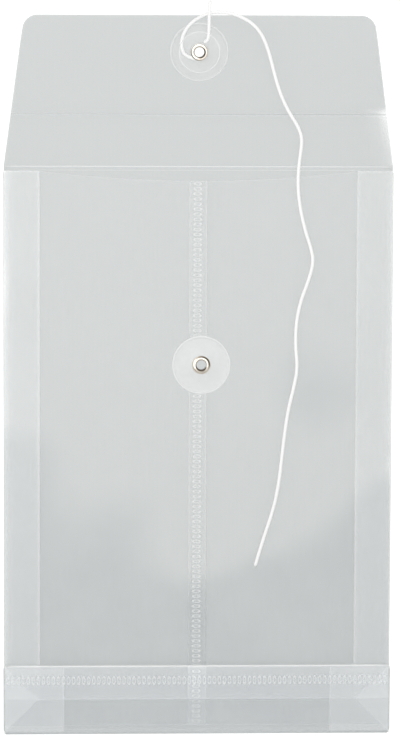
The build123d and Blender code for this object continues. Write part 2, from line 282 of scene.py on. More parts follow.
def grid_quads(rows, columns):
    """Faces of a grid of points that is stored row by row, turned upwards."""
    corner = (np.arange(rows - 1)[:, None] * columns + np.arange(columns - 1)).ravel()
    return np.stack([corner, corner + 1, corner + columns + 1, corner + columns], axis=1)


def ring_quads(rings, inwards=False):
    """Faces between each closed ring of points and the next one."""
    follow = np.roll(rings, -1, axis=1)
    faces = [rings[:-1], follow[:-1], follow[1:], rings[1:]]
    if inwards:
        faces = [faces[place] for place in (0, 3, 2, 1)]
    return np.stack(faces, axis=-1).reshape(-1, 4)


def lid_quads(ring):
    """Faces across a closed ring with an even count of points, from one half to the other."""
    count = len(ring)
    span = np.arange(count // 2 - 1)
    return np.stack([ring[span], ring[span + 1], ring[count - 2 - span], ring[count - 1 - span]], axis=1)


def border(grid):
    """Points round the border of a grid, in order."""
    return np.concatenate([grid[0, :-1], grid[:-1, -1], grid[-1, :0:-1], grid[:0:-1, 0]])


def put_piece(name, points, quads, finish, slot, tone):
    """Object from points and four-sided faces, with a tone at each point; unused points go. Lamps go through
    clear pieces, and the thin string keeps only a soft shade."""
    used, quads = np.unique(quads, return_inverse=True)
    quads = quads.reshape(-1, 4)
    points = np.asarray(points, float).reshape(-1, 3)[used]
    mesh = bpy.data.meshes.new(name)
    mesh.vertices.add(len(points))
    mesh.vertices.foreach_set("co", points.astype(np.float32).ravel())
    mesh.loops.add(quads.size)
    mesh.loops.foreach_set("vertex_index", quads.astype(np.int32).ravel())
    mesh.polygons.add(len(quads))
    mesh.polygons.foreach_set("loop_start", np.arange(0, quads.size, 4, dtype=np.int32))
    mesh.polygons.foreach_set("use_smooth", np.full(len(quads), True))
    mesh.update(calc_edges=True)
    values = np.asarray(tone, float).ravel()[used]
    mesh.attributes.new("tone", "FLOAT", "POINT").data.foreach_set("value", values.astype(np.float32))
    mesh.materials.append(finish_of(finish))
    piece = bpy.data.objects.new(name, mesh)
    bpy.context.scene.collection.objects.link(piece)
    piece.visible_shadow = False
    piece.visible_diffuse = slot in ("film", "string")
    return piece


def film_sheet(
    name, corners, middle, finish, tones, place=on_body, hole=None, score=False, width=None, lift=None,
    bend=None, milk=0.0, gleam=None, lines=(), inset=PLY_INSET,
):
    """One ply of film as a closed sheet with rounded edges.

    The plan is a grid between four corners, straight lines both ways, or between the two sides that width
    gives for each height. Half the thickness is that of a half round over the last tenth of a millimetre
    before an edge. A hole takes out a square of the grid, and rings run from that square to the circle. The
    tone of a point is the ply's own milk, the sum over the four edges of a strength that falls off as a bell
    with the distance from that edge, for stress whitening and painted highlight, painted shade along a score,
    and what gleam gives at its place: more milk on some sheets, painted highlight and shade on
    others.
    """
    step = bpy.context.scene.envelope_film.step
    corners = np.array(corners, float)
    if width is None:
        corners -= np.sign((corners - corners.mean(axis=0)).round(6)) * inset
    sides = np.linalg.norm(np.roll(corners, -1, axis=0) - corners, axis=1)
    across_length, up_length = (sides[:2] + sides[2:]) / 2
    left, right, low, high = corners[:, 0].min(), corners[:, 0].max(), corners[0, 1], corners[3, 1]
    wanted_across, wanted_up = np.asarray(lines, float) - left, ()
    if hole is not None:
        centre, reach = np.array(hole[0]), hole[1]
        ends = max(centre[0] - reach, left), min(centre[0] + reach, right)
        wanted_across = np.linspace(*ends, HOLE_LINES) - left
        wanted_up = centre[1] + np.linspace(-reach, reach, HOLE_LINES) - low
    s_line, t_line = grid_lines(across_length, step, wanted_across), grid_lines(up_length, step, wanted_up)
    if score:
        beside = SCORE_RISE - low + SCORE_LINES
        clear = np.abs(t_line[:, None] - beside).min(axis=1) > SCORE_CLEAR
        t_line = np.unique(np.concatenate([t_line[clear], beside]).round(8))
    s, t = np.meshgrid(s_line / across_length, t_line / up_length)
    if width is None:
        weights = (1 - s) * (1 - t), s * (1 - t), s * t, (1 - s) * t
        x, y = [sum(map(np.multiply, weights, values)) for values in corners.T]
        row_length = np.hypot(x[:, -1] - x[:, 0], y[:, -1] - y[:, 0])[:, None]
        column_length = np.hypot(x[-1] - x[0], y[-1] - y[0])
        apart = [s * row_length, (1 - s) * row_length, t * column_length, (1 - t) * column_length]
    else:
        y = low + t * (high - low)
        out = np.abs(2 * s - 1) * across_length / 2
        beyond = np.clip((out - reach) / (across_length / 2 - reach), 0, 1)
        x = np.sign(s - 0.5) * (np.minimum(out, reach) + beyond * (width(y) - reach))
        apart = [x - x[:, :1], x[:, -1:] - x, y - low, high - y]
    tone = np.full_like(s, milk)
    for edge, bells in zip(apart, tones):
        for strength, spread in bells:
            tone += strength * bell(edge, spread)
    tone = tone.ravel()
    half = (FILM / 2 * quarter_round(np.minimum.reduce(apart) / (FILM / 2))).ravel()
    plan = np.stack([x.ravel(), y.ravel()], axis=1)
    quads = grid_quads(*s.shape)
    if hole is not None:
        i0, i1 = np.abs(s_line[:, None] - wanted_across[[0, -1]]).argmin(axis=0)
        j0, j1 = np.abs(t_line[:, None] - wanted_up[[0, -1]]).argmin(axis=0)
        row, column = np.divmod(quads[:, 0], len(s_line))
        quads = quads[(row < j0) | (row >= j1) | (column < i0) | (column >= i1)]
        loop = border(np.arange(s.size).reshape(s.shape)[j0:j1 + 1, i0:i1 + 1])
        offset = plan[loop] - centre
        rim = HOLE_RADIUS * offset / np.linalg.norm(offset, axis=1, keepdims=True)
        shares = HOLE_SHARES[:, None, None]
        rings = centre + offset * (1 - shares) + rim * shares
        ring_half = np.tile(np.clip(half[loop], FILM / 4, FILM / 2), (len(shares), 1))
        ring_half[-1] = 0
        index = len(plan) + np.arange(ring_half.size).reshape(ring_half.shape)
        quads = np.concatenate([quads, ring_quads(np.concatenate([loop[None], index]))])
        plan = np.concatenate([plan, rings.reshape(-1, 2)])
        half = np.concatenate([half, ring_half.ravel()])
        tone = np.concatenate([tone, np.tile(tone[loop], len(shares))])
    if bend is not None:
        plan[:, 1] = bend(*plan.T)
    x, y = plan.T
    height = np.full(len(plan), float(middle)) + (lift(x, y) if lift else 0)
    upper = half
    if score:
        depth = SCORE_DEPTH * np.clip(1 - np.abs(y - SCORE_RISE) / (SCORE_WIDTH / 2), 0, 1)
        upper = np.maximum(half - depth, half * 0.2)
        # Painted shade along the score's groove.
        tone = tone + SCORE_SHADE * bell(y - SCORE_RISE, SCORE_SPREAD)
    # The sheet's own added tone: more milk on some sheets, painted highlight and shade on others.
    if gleam is not None:
        tone = tone + gleam(x, y)
    count = np.arange(len(plan))
    partner = np.where(half < SHUT, count, len(plan) + count)
    return put_piece(
        name, np.concatenate([place(x, y, height + upper), place(x, y, height - half)]),
        np.concatenate([quads, partner[quads[:, ::-1]]]), finish, "film", np.tile(tone, 2),
    )


# A fold's tone whitens it as stress whitening and painted highlight; a tone below 0 is painted shade.
def fold_ribbon(name, start, end, outward, low, high, bodies, bulge=1.0, tone=0.25):
    """Film that goes round a fold, from one ply to the next; with one body it goes with that body, and with more
    it stays where it is.

    The section is a half ring from the lower ply to the upper one, as thick as the film and stretched
    outwards by the bulge, with a short tongue into each ply. It is carried along the straight fold.
    """
    start, end, outward = np.array([start, end, outward], float)
    direction = (end - start) / np.linalg.norm(end - start)
    start, end = start + direction * FOLD_INSET, end - direction * FOLD_INSET
    angle = np.linspace(-pi / 2, pi / 2, ROUND_STEPS)
    radius, centre = (high - low) / 2, (high + low) / 2
    layers = []
    for side in (FILM / 2, -FILM / 2):
        out = np.concatenate([[-TONGUE], (radius + side) * bulge * np.cos(angle), [-TONGUE]])
        rise = centre + (radius + side) * np.concatenate([[-1], np.sin(angle), [1]])
        layers.append(np.stack([out, rise], axis=1))
    section = np.concatenate([layers[0], layers[1][::-1]])
    stations = max(2, int(np.linalg.norm(end - start) / ALONG_STEP))
    along = start + np.linspace(0, 1, stations)[:, None] * (end - start)
    plan = along[:, None] + section[:, :1] * outward
    points = on_body(plan[..., 0], plan[..., 1], section[:, 1])
    index = np.arange(stations * len(section)).reshape(stations, -1)
    ends = lid_quads(index[0]), lid_quads(index[-1])[:, ::-1]
    quads = np.concatenate([ring_quads(index, inwards=True), *ends])
    if direction[0] * outward[1] - direction[1] * outward[0] > 0:
        quads = quads[:, ::-1]
    piece = put_piece(name, points, quads, "folded", "film", np.full(index.size, tone))
    if len(bodies) > 1:
        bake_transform(piece)
    else:
        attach(piece, *bodies)
    return piece


def turned(name, outline, centre, axis, finish, slot, tone):
    """Closed outline of distances from an axis and heights along it, in millimetres, turned once round it.
    The tone is a function of the distance and of the bearing."""
    segments = bpy.context.scene.envelope_button.segments
    axis, side = np.array(axis, float) / np.linalg.norm(axis), np.array([1.0, 0, 0])
    angle = np.linspace(0, 2 * pi, segments, endpoint=False)[:, None]
    ring = np.cos(angle) * side + np.sin(angle) * np.cross(axis, side)
    section = np.asarray(outline, float) * MM
    points = centre + section[:, :1] * ring[:, None] + section[:, 1:] * axis
    index = np.arange(segments * len(section)).reshape(segments, -1)
    quads = ring_quads(np.concatenate([index, index[:1]]), inwards=True)
    bearing = np.arctan2(ring[:, 1], ring[:, 0])[:, None]
    values = np.broadcast_to(tone(outline[:, 0], bearing), index.shape)
    return put_piece(name, points, quads, finish, slot, values)


def arc(centre_r, centre_h, radius_r, radius_h, start, end, count):
    """Points on part of an ellipse, by its centre, its two radii and its first and last angle in degrees."""
    angle = np.radians(np.linspace(start, end, count))
    return np.stack([centre_r + radius_r * np.cos(angle), centre_h + radius_h * np.sin(angle)], axis=1)


class Recipe:
    """The nodes of a material or of the world, and short ways to add to them."""

    def __init__(self, owner, bare=False):
        owner.use_nodes = True
        self.owner, self.tree = owner, owner.node_tree
        if bare:
            self.tree.nodes.clear()

    def feed(self, socket, source):
        """Links a socket to another one, or gives it a plain value or colour."""
        if isinstance(source, NodeSocket):
            self.tree.links.new(source, socket)
        else:
            socket.default_value = (*source, 1) if socket.type == "RGBA" else source

    def add(self, kind, inputs=(), **settings):
        """New node with its settings, and its inputs by name or by number."""
        made = self.tree.nodes.new(kind)
        for key, value in settings.items():
            setattr(made, key, value)
        for key, source in dict(inputs).items():
            self.feed(made.inputs[key], source)
        return made

    def coordinates(self, kind="Object"):
        return self.add("ShaderNodeTexCoord").outputs[kind]

    def tone(self):
        """The tone of each point of the mesh."""
        return self.add("ShaderNodeAttribute", attribute_name="tone").outputs["Fac"]

    def number(self, operation, *values, clamp=False):
        """What a math node works out from its values."""
        return self.add("ShaderNodeMath", enumerate(values), operation=operation, use_clamp=clamp).outputs[0]

    def stretched(self, place, scale):
        return self.add("ShaderNodeMapping", {"Vector": place, "Scale": scale}).outputs[0]

    def noise(self, place, scale, detail, distortion=0.0):
        inputs = {"Vector": place, "Scale": scale, "Detail": detail, "Distortion": distortion}
        return self.add("ShaderNodeTexNoise", inputs).outputs["Fac"]

    def ranged(self, value, low, high, to_low=0.0, to_high=1.0, way="LINEAR"):
        """A value carried from one range to another."""
        inputs = {"Value": value, "From Min": low, "From Max": high, "To Min": to_low, "To Max": to_high}
        return self.add("ShaderNodeMapRange", inputs, interpolation_type=way).outputs[0]

    def mixed(self, share, first, second):
        """Colour that goes from the first to the second with the share, by the sockets for colours."""
        return self.add("ShaderNodeMix", {"Factor": share, 6: first, 7: second}, data_type="RGBA").outputs[2]

    def bump(self, height, strength, distance):
        inputs = {"Height": height, "Strength": strength, "Distance": distance * MM}
        return self.add("ShaderNodeBump", inputs).outputs[0]

    def main_shader(self, inputs):
        shader = next(node for node in self.tree.nodes if node.type == "BSDF_PRINCIPLED")
        for key, source in inputs.items():
            self.feed(shader.inputs[key], source)
        return self.owner

    def view_rays(self):
        """Two numbers: 1 for a view or mirror image of the stage, and 1 for one with no film before it."""
        rays = self.add("ShaderNodeLightPath").outputs
        seen = rays["Is Camera Ray"]
        for name in ("Is Glossy Ray", "Is Transmission Ray"):
            seen = self.number("MAXIMUM", seen, rays[name])
        return seen, self.number("MULTIPLY", seen, self.number("LESS_THAN", rays["Transparent Depth"], 0.5))


def film_material(name, film, haze, roughness, whitening, shade_colour):
    """Clear film: a haze of milk that drifts over the sheet, painted shade that darkens the film low on the
    pocket, with a cloudy edge that stands for soft reflections, fine lines along the draw of the film, and
    creases and cut edges that are whitened where the tone of a point is above 0, partly as stress whitening and
    partly as painted highlight, and darkened as painted shade where it is below."""
    make = Recipe(bpy.data.materials.new(name))
    place, tone = make.coordinates(), make.tone()
    lines = make.noise(make.stretched(place, (1400.0, 90.0, 90.0)), 1.0, 2.0)
    white = make.number("MAXIMUM", tone, 0.0)
    painted_shade_share = make.number("MAXIMUM", make.number("MULTIPLY", tone, -1.0), 0.0, clamp=True)
    # Painted shade: low on the pocket, where the lamp's light falls off, the film takes the shade colour, with a
    # cloudy edge of soft dark patches that stand for reflections.
    rise = make.add("ShaderNodeSeparateXYZ", {"Vector": place}).outputs["Y"]
    wave = make.noise(place, 13.0, 0.0, distortion=0.5)
    waved = make.number("MULTIPLY_ADD", wave, 1.8, make.ranged(rise, BOTTOM, FOLD, -0.75, 0.75))
    shaded_milk = make.mixed(make.ranged(waved, 0.58, 0.88, way="SMOOTHSTEP"), shade_colour, film.colour)
    pale = make.mixed(make.number("MINIMUM", white, 1.0), shaded_milk, (0.96, 0.97, 0.965))
    drift = make.ranged(make.noise(place, 34.0, 3.0), 0.3, 0.7, haze * 0.8, haze * 1.2)
    streaked = make.number("MULTIPLY_ADD", lines, haze * 0.25, drift)
    raised = make.number("MULTIPLY_ADD", white, whitening, streaked)
    return make.main_shader({
        # Below 0 the tone mixes in a painted shade colour and covers more.
        "Base Color": make.mixed(painted_shade_share, pale, (0.42, 0.44, 0.44)),
        "Alpha": make.number("MULTIPLY_ADD", painted_shade_share, 0.5, raised, clamp=True),
        "Roughness": make.ranged(lines, 0.0, 1.0, roughness * 0.7, roughness * 1.5),
        "Normal": make.bump(lines, 0.08, 0.05),
        "IOR": 1.49,
    })


def disc_material(finish):
    """Translucent white plastic with a fine moulded grain, a paler rim, and painted shade where the tone is
    below 0.
    """
    make = Recipe(bpy.data.materials.new("disc_plastic"))
    place, tone = make.coordinates(), make.tone()
    grain, cloud = make.noise(place, 2600.0, 2.0), make.noise(place, 160.0, 2.0)
    cover = make.ranged(cloud, 0.3, 0.7, finish.disc_cover - 0.04, finish.disc_cover + 0.04)
    pale = make.mixed(tone, finish.disc_colour, (0.78, 0.795, 0.79))
    # Below 0 the tone mixes in a painted shade colour.
    minus = make.number("MULTIPLY", tone, -1.0, clamp=True)
    return make.main_shader({
        "Base Color": make.mixed(minus, pale, (0.42, 0.435, 0.43)),
        "Alpha": make.number("MULTIPLY_ADD", tone, 0.3, cover, clamp=True),
        "Roughness": make.ranged(grain, 0.0, 1.0, 0.3, 0.5),
        "Normal": make.bump(grain, 0.1, 0.05),
    })


def eyelet_material(finish):
    """Nickel plating with a fine grain, a little warmer where it has dulled, and painted shade and dark
    reflection where its tone is high.
    """
    make = Recipe(bpy.data.materials.new("nickel_plate"))
    place = make.coordinates()
    dull, fine = make.noise(place, 420.0, 4.0), make.noise(place, 5200.0, 2.0)
    warm = make.mixed(make.ranged(dull, 0.4, 0.75, 0.0, 0.7), finish.metal_colour, (0.50, 0.44, 0.36))
    return make.main_shader({
        # Painted shade and dark reflection where the tone is high.
        "Base Color": make.mixed(make.tone(), warm, (0.05, 0.04, 0.03)),
        "Metallic": 1.0,
        "Roughness": make.ranged(dull, 0.0, 1.0, 0.06, 0.18),
        "Normal": make.bump(fine, 0.06, 0.02),
    })


def string_material(finish):
    """White cotton: a dull face with fibres along the strands, from a noise along the string's own map, and
    painted shade in the grooves between strands, where the tone is high.
    """
    make = Recipe(bpy.data.materials.new("white_cotton"))
    hair = make.noise(make.stretched(make.coordinates("UV"), (420.0, 26.0, 1.0)), 1.0, 3.0)
    fibres = make.mixed(make.ranged(hair, 0.3, 0.7, 0.0, 0.35), finish.colour, (0.92, 0.92, 0.91))
    return make.main_shader({
        "Base Color": make.mixed(make.tone(), fibres, (0.83, 0.83, 0.82)),
        "Roughness": 0.85,
        "Normal": make.bump(hair, 0.3, 0.04),
    })


FINISHES = {}


def finish_of(name):
    """Material that pieces share. All of them are made at the first use."""
    if not FINISHES:
        scene = bpy.context.scene
        film, button = scene.envelope_film, scene.envelope_button
        usual = film.roughness, film.whitening
        FINISHES["film"] = film_material("clear_film", film, film.haze, *usual, film.painted_shade_colour)
        FINISHES["folded"] = film_material("folded_film", film, film.folded_haze, *usual, film.colour)
        FINISHES["low"] = film_material("low_film", film, film.folded_haze, *usual, film.low_tint_and_shade)
        FINISHES["weld"] = film_material("welded_film", film, 0.03, 0.35, 0.42, film.colour)
        FINISHES["washer"] = film_material("washer_film", film, 0.05, 0.2, 0.3, film.colour)
        FINISHES["disc"], FINISHES["eyelet"] = disc_material(button), eyelet_material(button)
        FINISHES["string"] = string_material(scene.envelope_string)
    return FINISHES[name]


class ENVELOPE_OT_front_and_flap(Operator):
    """Front panel, flap with its rounded corners and score, and the thin fold between them"""

    bl_idname = "envelope.front_and_flap"
    bl_label = "Front and flap"

    def execute(self, context):
        front = film_sheet(
            "front_film", rectangle(-HALF, HALF, BOTTOM, FRONT_HIGH.y), level("front_panel"), "film",
            [FRONT_SIDE, FRONT_SIDE, PLAIN, PLAIN],
        )
        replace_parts(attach(front, "front"), "front_panel")
        foot_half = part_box("flap_panel")[1].x + FLAP_SPARE

        def half_width(up):
            """Half the flap's width: a straight taper, and a quarter round over the last corner radius."""
            straight = foot_half + (FLAP_TOP_HALF - foot_half) * (up - FLAP_ROOT) / (FLAP_TOP - FLAP_ROOT)
            return straight - FLAP_CORNER * (1 - quarter_round((FLAP_TOP - up) / FLAP_CORNER))

        def edge_gleam(x, up):
            """Painted highlight at the flap's right edge, glints strongest at the score's end and fading down to
            the fold, and over the right part of the flap painted shade that deepens the score, with a painted
            highlight line under it."""
            at_edge = bell(foot_half + (FLAP_TOP_HALF - foot_half) * up / FLAP_TOP - x, 4 * MM)
            score_end = 0.8 * bell(up - 22.4 * MM, 1.6 * MM)
            below = 0.45 * np.clip((24 * MM - up) / (2 * MM), 0, 1) + 0.5 * bell(up - 16.5 * MM, 5.5 * MM)
            right = np.clip((x + 35 * MM) / (10 * MM), 0, 1)
            # Painted highlight line just under the score, and painted shade in it.
            pressed = 0.35 * bell(up - 21.3 * MM, 0.2 * MM) - 0.16 * bell(up - SCORE_RISE, 0.3 * MM)
            return at_edge * (score_end + below) + right * pressed

        flap = film_sheet(
            "flap_film", rectangle(-foot_half, foot_half, FLAP_ROOT, FLAP_TOP), FILM / 2, "film",
            [CUT, CUT, PLAIN, CUT], on_flap, hole=((0.0, FLAP_RISE), FLAP_HOLE_REACH), score=True,
            width=half_width, gleam=edge_gleam,
        )
        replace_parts(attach(flap, "flap"), "flap_panel")

        # The fold is thinned in its middle and rises from the front panel's level to the flap's
        rows, columns = 13, 40
        share = np.linspace(-1, 1, rows)
        start, end = FILM / 2, float(on_flap(0, FLAP_ROOT, FILM / 2)[2])
        middle = start + (end - start) * (share + 1) / 2
        half = FILM / 2 - 0.045 * MM * bell(share, 0.35)
        ridge = 0.05 * MM * bell(share, 0.3)
        # Tone across the fold: a pale line that is stress whitening and painted highlight, and a painted shade
        # line just below it.
        tones = 0.95 * bell(share - 0.5, 0.17) - 0.15 * bell(share + 0.17, 0.17)
        x, y = np.meshgrid(np.linspace(-foot_half, foot_half, columns), FOLD + share * 1.02 * MM)
        layers = [on_body(x, y, height[:, None]) for height in (middle + half + ridge, middle - half)]
        quads, rim = grid_quads(rows, columns), border(np.arange(x.size).reshape(x.shape))
        follow = np.roll(rim, -1)
        walls = np.stack([rim, rim + x.size, follow + x.size, follow], axis=1)
        crease = put_piece(
            "flap_fold_film", layers, np.concatenate([quads, quads[:, ::-1] + x.size, walls]), "film", "film",
            np.tile(np.repeat(tones, columns), 2),
        )
        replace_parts(crease, "flap_crease")
        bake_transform(crease)
        return {"FINISHED"}


class ENVELOPE_OT_gussets(Operator):
    """The two plies of each side gusset, and the folds at their edges"""

    bl_idname = "envelope.gussets"
    bl_label = "Gussets"

    def execute(self, context):
        base, low, mid = level("front_panel"), level("gusset_front_left"), level("gusset_back_left")

        def low_milk(x, y):
            """Milkier film towards the foot."""
            return 0.14 * np.clip((20 * MM - y) / (80 * MM), 0, 1)

        for word, side in SIDES:
            edge, crease = side * HALF, side * CREASE
            front, rear = f"gusset_front_{word}", f"gusset_back_{word}"
            tones = [CREASED, FOLDED, GUSSET_FOOT, CUT] if side > 0 else [BOWED, CREASED, GUSSET_FOOT, CUT]
            for name, foot, height in ((front, BOTTOM, low), (rear, FOOT, mid)):
                corners = handed(side, [(crease, FOOT), (edge, foot), (edge, MOUTH), (crease, MOUTH)])
                ply = film_sheet(f"{name}_film", corners, height, "folded", tones, milk=0.1, gleam=low_milk)
                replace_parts(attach(ply, name), name)
            last = (rear, "back") if side < 0 else ("back",)
            for name, x, foot, out, heights, bodies, bulge, tone in (
                ("front_edge_fold", edge, BOTTOM, side, (base, low), ("front", front), EDGE_BULGE, 0.25),
                ("gusset_crease_fold", crease, FOOT + FOLD_INSET, -side, (low, mid), (front, rear), 1.0, 0.4),
                ("back_edge_fold", edge, FOOT, side, (mid, BACK_FILM), last, EDGE_BULGE, 0.25),
            ):
                fold_ribbon(f"{name}_{word}", (x, foot), (x, MOUTH), (out, 0), *heights, bodies, bulge, tone)
        return {"FINISHED"}


class ENVELOPE_OT_back(Operator):
    """The two halves of the back, the right one stepped over the left along the seam"""

    bl_idname = "envelope.back"
    bl_label = "Back"

    def execute(self, context):
        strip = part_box("back_panel_right")[1].z - FILM / 2
        radius = (CREASE ** 2 + MOUTH_DIP ** 2) / (2 * MOUTH_DIP)

        def mouth(x, y):
            """Draws the mouth down to a shallow arc between the gussets' creases, and the film below it less."""
            sag = MOUTH_DIP - radius + np.sqrt(radius ** 2 - np.clip(x, -CREASE, CREASE) ** 2)
            return y - np.clip(sag, 0, MOUTH_DIP) * np.clip((y - MOUTH + MOUTH_DRAW) / MOUTH_DRAW, 0, 1)

        def step_up(x, y):
            """Height over the left half at the seam, and a smooth fall beside its edge."""
            share = np.clip((x - (SEAM + 0.1 * MM)) / (0.9 * MM), 0, 1)
            return (strip - BACK_FILM) * (1 - share * share * (3 - 2 * share))

        def left_gleam(x, y):
            """Painted highlight: a pale stretch along the left edge, where the bowed film catches light, and a
            pale line beside the seam.
            """
            bow_highlight = 0.5 * bell(x + HALF, 2.4 * MM) * bell(y - 36 * MM, 13 * MM)
            return bow_highlight + 0.4 * bell(x - SEAM + 0.45 * MM, 0.3 * MM)

        for word, low_x, high_x, tones, lift, gleam in (
            ("left", -HALF, SEAM, [FOLDED, PLAIN, PLAIN, MOUTH_CUT], None, left_gleam),
            ("right", -SEAM, HALF, [SEAM_CUT, FOLDED, PLAIN, MOUTH_CUT], step_up, None),
        ):
            half = film_sheet(
                f"back_film_{word}", rectangle(low_x, high_x, FOOT, MOUTH), BACK_FILM, "film", tones,
                hole=(BACK_EYE[:2], BACK_HOLE_REACH), lift=lift, bend=mouth, gleam=gleam,
            )
            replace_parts(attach(half, "back"), f"back_panel_{word}")
        return {"FINISHED"}


class ENVELOPE_OT_bottom(Operator):
    """The squared bottom, folded up flat: foot, corners, tucks, flaps and the folds at their edges"""

    bl_idname = "envelope.bottom"
    bl_label = "Bottom"

    def execute(self, context):
        plies = {}

        def ply(node, body, corners, tones, milk=0.0, finish="folded", **more):
            """One ply that stands for a node, at the node's own level."""
            plies[node] = level(node)
            sheet = film_sheet(f"{node}_film", corners, plies[node], finish, tones, milk=milk, **more)
            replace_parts(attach(sheet, body), node)

        def seam_strip(x, y):
            """Where the two halves of the sheet lie over each other, paler at both cut edges."""
            inside = np.clip((SEAM + 0.1 * MM - np.abs(x)) / (0.2 * MM), 0, 1)
            return inside * (0.22 + 0.2 * bell(np.abs(x) - 3.55 * MM, 0.25 * MM))

        def bottom_fold_highlight(x, y):
            """Painted highlight: a pale line a little above the bottom edge, on the lit side of the bottom fold.
            """
            return 0.3 * bell(y - BOTTOM - 1.7 * MM, 0.5 * MM)

        ply(
            "back_foot", "foot", rectangle(-HALF, HALF, FOOT, FOOT_TOP), [SOFT, SOFT, SOFT, PLAIN], 0.54,
            gleam=seam_strip, lines=STRIP_LINES,
        )
        ply(
            "bottom_back_flap", "bottom", rectangle(-HALF, HALF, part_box("bottom_back_flap")[0].y, FOOT_TOP),
            [PLAIN, PLAIN, CUT, FOLDED], finish="low", gleam=seam_strip, lines=STRIP_LINES,
        )
        ply(
            "bottom_front_flap", "bottom", rectangle(-HALF, HALF, BOTTOM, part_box("bottom_front_flap")[1].y),
            [PLAIN, PLAIN, PLAIN, CUT], finish="low", gleam=bottom_fold_highlight,
        )
        low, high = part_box("bottom_side_flap_left")
        reach = high.x - low.x
        for word, side in SIDES:
            edge, crease, inner = side * HALF, side * CREASE, side * (HALF - reach)
            corner, tuck, flap = f"corner_tuck_{word}", f"bottom_tuck_{word}", f"bottom_side_flap_{word}"
            middle = ((edge + crease) / 2, (FOOT + FOOT_TOP) / 2)
            corners = handed(side, [(crease, FOOT), (edge, FOOT), (edge, FOOT_TOP), middle])
            ply(corner, f"corner_{word}", corners, [SOFT, PLAIN, SOFT, CORNER_SIDE], 0.6)
            corners = handed(side, [(crease, FOOT), (edge, BOTTOM), (edge, FOOT), (edge, FOOT_TOP)])
            ply(tuck, f"tuck_{word}", corners, [TUCK_SIDE, PLAIN, PLAIN, TUCK_SIDE], 0.5, inset=FOLD_INSET)
            corners = rectangle(min(edge, inner), max(edge, inner), low.y, high.y)
            ply(flap, "bottom", corners, [*[CUT, PLAIN][::side], PLAIN, PLAIN], 0.5)
            for name, first, last, bodies, ends in (
                ("corner_fold", "back_foot", corner, ("foot", f"corner_{word}"), (FOOT, FOOT_TOP)),
                ("tuck_fold", tuck, flap, (f"tuck_{word}", "bottom"), (low.y, high.y)),
            ):
                fold_ribbon(
                    f"{name}_{word}", (edge, ends[0]), (edge, ends[1]), (side, 0), plies[first], plies[last],
                    # Tone below 0: painted shade along the side folds.
                    bodies, tone=-0.5,
                )
        base, foot = level("front_panel"), plies["back_foot"]
        fold_ribbon("foot_fold", (-HALF, FOOT), (HALF, FOOT), (0, -1), BACK_FILM, foot, ("back", "foot"))
        fold_ribbon(
            "bottom_top_fold", (-HALF, FOOT_TOP), (HALF, FOOT_TOP), (0, 1), foot, plies["bottom_back_flap"],
            ("foot", "bottom"), TOP_BULGE, 0.9,
        )
        lowest = fold_ribbon(
            "bottom_edge_fold", (-HALF, BOTTOM), (HALF, BOTTOM), (0, -1), base, plies["bottom_front_flap"],
            # Tone below 0: painted shade along the bottom edge fold.
            ("front",), BOTTOM_BULGE, -0.3,
        )
        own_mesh(lowest)
        return {"FINISHED"}


def weld_row(name, body, x, y, height, long_axis="X"):
    """A row of pressed weld ovals. Each is a low oval ring: the height over its radius is a bead near the rim
    and a dip inside it, round an ellipse, closed below by a flat oval."""
    finish = bpy.context.scene.envelope_weld
    wide, tall = finish.long_radius, finish.short_radius
    if long_axis == "Y":
        wide, tall = tall, wide
    angle = np.linspace(0, 2 * pi, WELD_AROUND, endpoint=False)
    share, rise = WELD_SHARE[:, None], WELD_RISE[:, None] * finish.rise
    one = on_body(share * np.cos(angle) * wide, share * np.sin(angle) * tall, rise)
    centres = on_body(x, y, height)
    index = np.arange(WELD_SHARE.size * WELD_AROUND).reshape(-1, WELD_AROUND)
    lid, floor = lid_quads(index[0]), lid_quads(index[-1])[:, [0, 3, 2, 1]]
    quads = np.concatenate([ring_quads(index, inwards=True), lid, floor])
    every = quads + (np.arange(len(centres)) * index.size)[:, None, None]
    ends = np.abs(np.cos(angle) if long_axis == "X" else np.sin(angle))
    tone = np.tile((WELD_SHADE[:, None] * (0.72 + 0.28 * ends)).ravel(), len(centres))
    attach(put_piece(name, centres[:, None, None] + one, every, "weld", "film", tone), body)


class ENVELOPE_OT_welds(Operator):
    """Rows of weld ovals along the back seam and across the bottom flap"""

    bl_idname = "envelope.welds"
    bl_label = "Welds"

    def execute(self, context):
        pitch = context.scene.envelope_weld.pitch
        along = np.arange(MOUTH - 5.2 * MM, FOOT + pitch, -pitch)
        along = along[np.abs(along - BACK_EYE[1]) > 3.9 * MM]
        weld_row("seam_welds", "back", WELD_X, along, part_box("back_panel_right")[1].z)
        for name, body, node, low in (
            ("foot_seam_welds", "foot", "back_foot", FOOT),
            ("flap_seam_welds", "bottom", "bottom_back_flap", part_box("bottom_back_flap")[0].y),
        ):
            along = np.arange(FOOT_TOP - pitch, low + pitch / 2, -pitch)
            weld_row(name, body, WELD_X, along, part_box(node)[1].z)
        across = np.arange(-HALF + 1.6 * MM, HALF - 1.4 * MM, pitch)
        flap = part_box("bottom_front_flap")[1]
        weld_row("bottom_welds", "bottom", across, flap.y - 2.4 * MM, flap.z, "Y")
        return {"FINISHED"}


